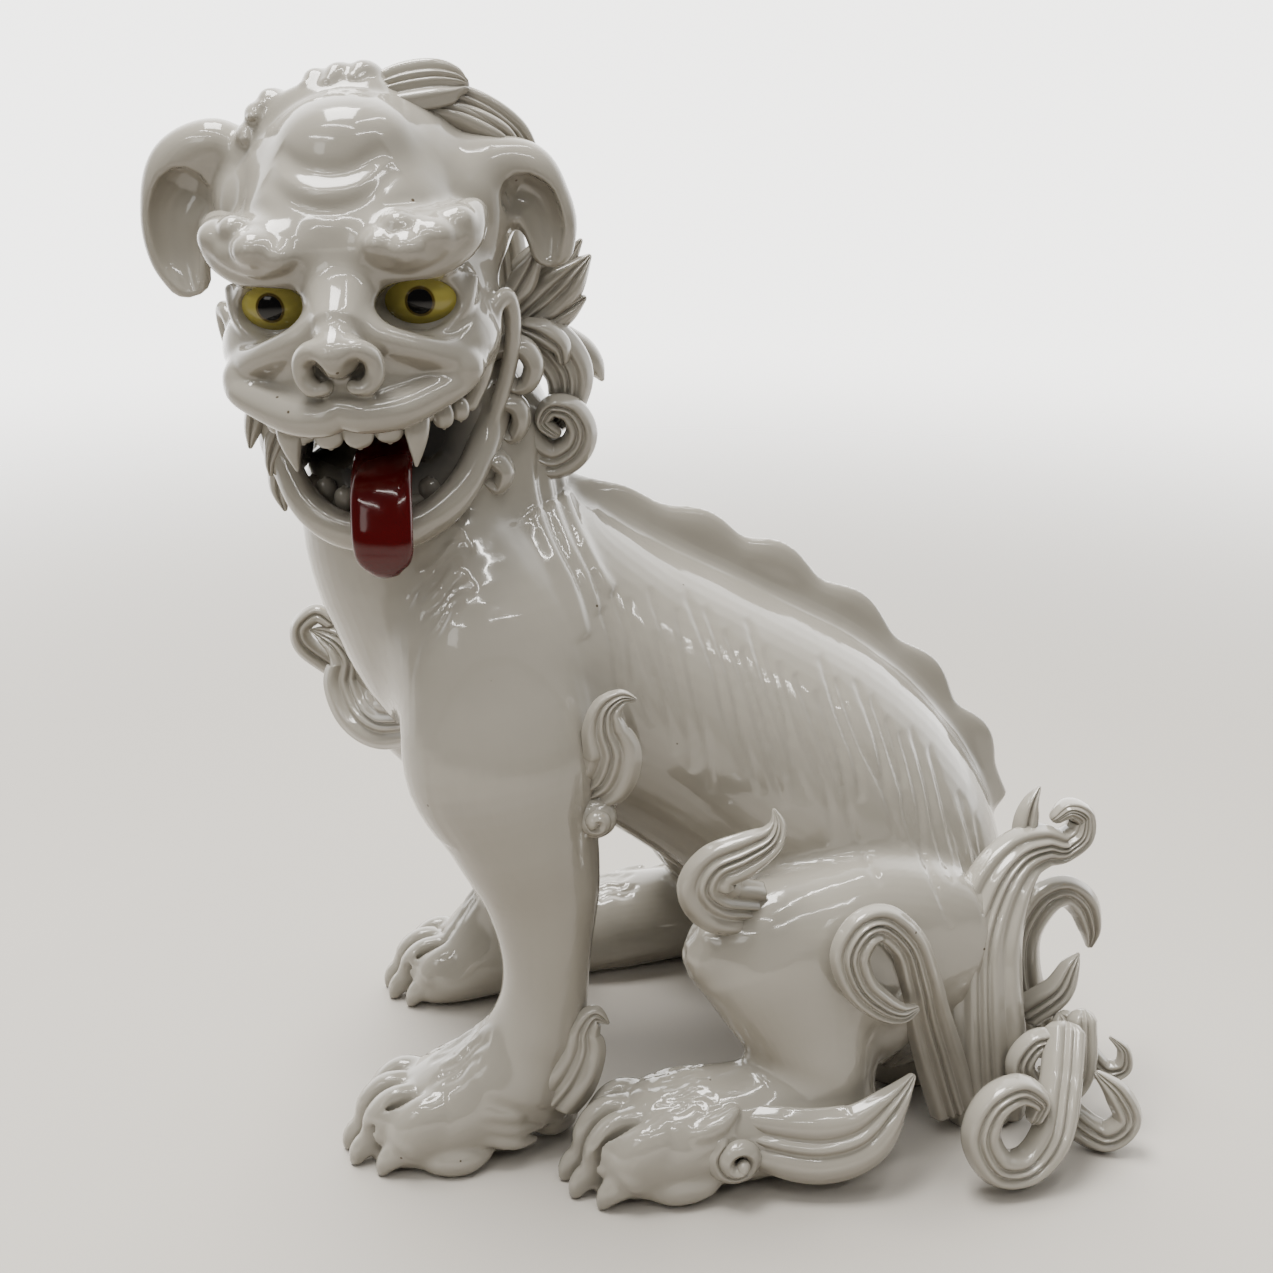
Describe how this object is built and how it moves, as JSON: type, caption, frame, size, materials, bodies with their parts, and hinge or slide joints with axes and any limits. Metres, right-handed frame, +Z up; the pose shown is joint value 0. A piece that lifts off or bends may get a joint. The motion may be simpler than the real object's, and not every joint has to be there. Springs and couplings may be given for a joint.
{
  "type": "foo dog statue",
  "caption": "Seated guardian lion statue in hollow white glazed ceramic, head turned to its left, with curled mane, flames and tail, yellow eyes and a red tongue.",
  "frame": {"origin": "centre of the statue's footprint box, on the surface it stands on", "axes": "+Z up, the body faces -Y and the animal's own left side is +X"},
  "size_m": [0.278, 0.4336, 0.484],
  "materials": {
    "white_glaze": "glossy clear glaze over a white body",
    "yellow_glaze": "glossy yellow glaze with black pupil",
    "red_glaze": "glossy deep red glaze"
  },
  "bodies": {
    "root": {"back_hair": "white_glaze", "beard_spike": "white_glaze", "brow_left": "white_glaze", "brow_right": "white_glaze", "cheek_curl_left": "white_glaze", "cheek_curl_right": "white_glaze", "chest_curl": "white_glaze", "chest_flame": "white_glaze", "crown_roll": "white_glaze", "crown_tuft": "white_glaze", "ear_left": "white_glaze", "ear_right": "white_glaze", "elbow_flame": "white_glaze", "elbow_knob": "white_glaze", "eye_left": "yellow_glaze", "eye_right": "yellow_glaze", "fang_left": "white_glaze", "fang_right": "white_glaze", "foot_flame_left": "white_glaze", "foot_flame_right": "white_glaze", "foreleg_left": "white_glaze", "foreleg_right": "white_glaze", "forepaw_left": "white_glaze", "forepaw_right": "white_glaze", "head_shell": "white_glaze", "hindleg_left": "white_glaze", "hindleg_right": "white_glaze", "hindpaw_left": "white_glaze", "hindpaw_right": "white_glaze", "hip_curl_left": "white_glaze", "hip_curl_right": "white_glaze", "knee_flame_left": "white_glaze", "knee_flame_right": "white_glaze", "lower_jaw": "white_glaze", "lower_teeth": "white_glaze", "mane_leaf_left": "white_glaze", "mane_leaf_right": "white_glaze", "mane_lock_left": "white_glaze", "mane_lock_right": "white_glaze", "mane_spike_left": "white_glaze", "mane_spike_right": "white_glaze", "mane_sweep_left": "white_glaze", "mane_sweep_right": "white_glaze", "nose": "white_glaze", "smile_fold_left": "white_glaze", "smile_fold_right": "white_glaze", "spine_crest": "white_glaze", "tail_hook": "white_glaze", "tail_plume": "white_glaze", "tail_scroll_1": "white_glaze", "tail_scroll_2": "white_glaze", "tail_scroll_3": "white_glaze", "tail_scroll_4": "white_glaze", "tail_tuft": "white_glaze", "tongue": "red_glaze", "torso_shell": "white_glaze", "upper_lip": "white_glaze", "upper_teeth": "white_glaze", "wrist_flame_left": "white_glaze", "wrist_flame_right": "white_glaze"}
  },
  "joints": []
}
